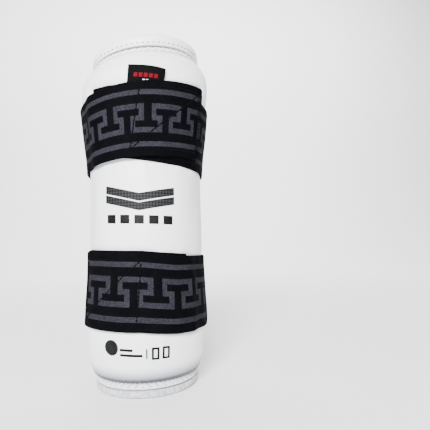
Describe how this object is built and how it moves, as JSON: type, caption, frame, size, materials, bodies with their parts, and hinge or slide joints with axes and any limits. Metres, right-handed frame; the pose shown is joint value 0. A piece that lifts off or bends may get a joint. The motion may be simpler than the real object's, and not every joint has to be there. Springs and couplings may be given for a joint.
{
  "type": "forearm guard",
  "caption": "Padded C-shaped forearm guard of white synthetic leather over foam, with wide black elastic straps that wrap round the arm and close on the front with hook and loop.",
  "frame": {"origin": "on the forearm's axis, in the plane of the bottom rim that the guard stands on", "axes": "+Z along the forearm towards the elbow, -Y out of the front of the guard, the shell opens towards +Y"},
  "size_m": [0.1043, 0.1074, 0.255],
  "materials": {
    "pu_leather": "smooth white synthetic leather with a faint grain",
    "binding_tape": "white woven tape",
    "foam": "closed-cell foam",
    "lining": "white knitted lining",
    "webbing": "black elastic jacquard with a grey key pattern",
    "loop_pile": "black loop pile",
    "hook_tape": "black moulded hooks",
    "label_weave": "black satin-woven label",
    "print_film": "dark grey printed film",
    "piping_cord": "grey cord"
  },
  "bodies": {
    "guard": {"outer_cover": "pu_leather", "foam_core": "foam", "comfort_foam": "foam", "inner_lining": "lining", "top_collar": "pu_leather", "bottom_collar": "pu_leather", "top_binding": "pu_leather", "bottom_binding": "binding_tape", "left_edge_binding": "binding_tape", "right_edge_binding": "binding_tape", "bottom_piping": "piping_cord", "size_label": "label_weave", "front_print": "print_film", "lower_print": "print_film", "upper_strap_base": "webbing", "upper_loop_patch": "loop_pile", "lower_strap_base": "webbing", "lower_loop_patch": "loop_pile"},
    "upper_section_1": {"upper_strap_1": "webbing"},
    "upper_section_2": {"upper_strap_2": "webbing"},
    "upper_section_3": {"upper_strap_3": "webbing"},
    "upper_section_4": {"upper_strap_4": "webbing"},
    "upper_section_5": {"upper_strap_5": "webbing", "upper_hook_patch": "hook_tape", "upper_end_hem": "webbing"},
    "lower_section_1": {"lower_strap_1": "webbing"},
    "lower_section_2": {"lower_strap_2": "webbing"},
    "lower_section_3": {"lower_strap_3": "webbing"},
    "lower_section_4": {"lower_strap_4": "webbing"},
    "lower_section_5": {"lower_strap_5": "webbing", "lower_hook_patch": "hook_tape", "lower_end_hem": "webbing"}
  },
  "joints": [
    {"name": "upper_strap_unwrap", "type": "hinge", "parent": "guard", "child": "upper_section_1", "pos_m": [0.04839, 0.01761, 0.183], "axis": [0, 0, -1], "range_deg": [0, 60]},
    {"name": "upper_strap_bend_2", "type": "hinge", "parent": "upper_section_1", "child": "upper_section_2", "pos_m": [0.00782, 0.05171, 0.183], "axis": [0, 0, -1], "range_deg": [0, 60]},
    {"name": "upper_strap_bend_3", "type": "hinge", "parent": "upper_section_2", "child": "upper_section_3", "pos_m": [-0.04235, 0.03214, 0.184], "axis": [0, 0, -1], "range_deg": [0, 60]},
    {"name": "upper_strap_bend_4", "type": "hinge", "parent": "upper_section_3", "child": "upper_section_4", "pos_m": [-0.04943, -0.02221, 0.188], "axis": [0, 0, -1], "range_deg": [0, 60]},
    {"name": "upper_strap_bend_5", "type": "hinge", "parent": "upper_section_4", "child": "upper_section_5", "pos_m": [-0.00423, -0.05497, 0.192], "axis": [0, 0, -1], "range_deg": [0, 60]},
    {"name": "lower_strap_unwrap", "type": "hinge", "parent": "guard", "child": "lower_section_1", "pos_m": [-0.04495, 0.01636, 0.073], "axis": [0, 0, 1], "range_deg": [0, 60]},
    {"name": "lower_strap_bend_2", "type": "hinge", "parent": "lower_section_1", "child": "lower_section_2", "pos_m": [-0.00644, 0.04824, 0.072], "axis": [0, 0, 1], "range_deg": [0, 60]},
    {"name": "lower_strap_bend_3", "type": "hinge", "parent": "lower_section_2", "child": "lower_section_3", "pos_m": [0.04046, 0.02854, 0.07], "axis": [0, 0, 1], "range_deg": [0, 60]},
    {"name": "lower_strap_bend_4", "type": "hinge", "parent": "lower_section_3", "child": "lower_section_4", "pos_m": [0.04475, -0.023, 0.071], "axis": [0, 0, 1], "range_deg": [0, 60]},
    {"name": "lower_strap_bend_5", "type": "hinge", "parent": "lower_section_4", "child": "lower_section_5", "pos_m": [0.00036, -0.05109, 0.073], "axis": [0, 0, 1], "range_deg": [0, 60]}
  ],
  "couplings": [
    {"joint": "upper_strap_bend_2", "follows": "upper_strap_unwrap", "ratio": 1},
    {"joint": "upper_strap_bend_3", "follows": "upper_strap_unwrap", "ratio": 1},
    {"joint": "upper_strap_bend_4", "follows": "upper_strap_unwrap", "ratio": 1},
    {"joint": "upper_strap_bend_5", "follows": "upper_strap_unwrap", "ratio": 1},
    {"joint": "lower_strap_bend_2", "follows": "lower_strap_unwrap", "ratio": 1},
    {"joint": "lower_strap_bend_3", "follows": "lower_strap_unwrap", "ratio": 1},
    {"joint": "lower_strap_bend_4", "follows": "lower_strap_unwrap", "ratio": 1},
    {"joint": "lower_strap_bend_5", "follows": "lower_strap_unwrap", "ratio": 1}
  ]
}
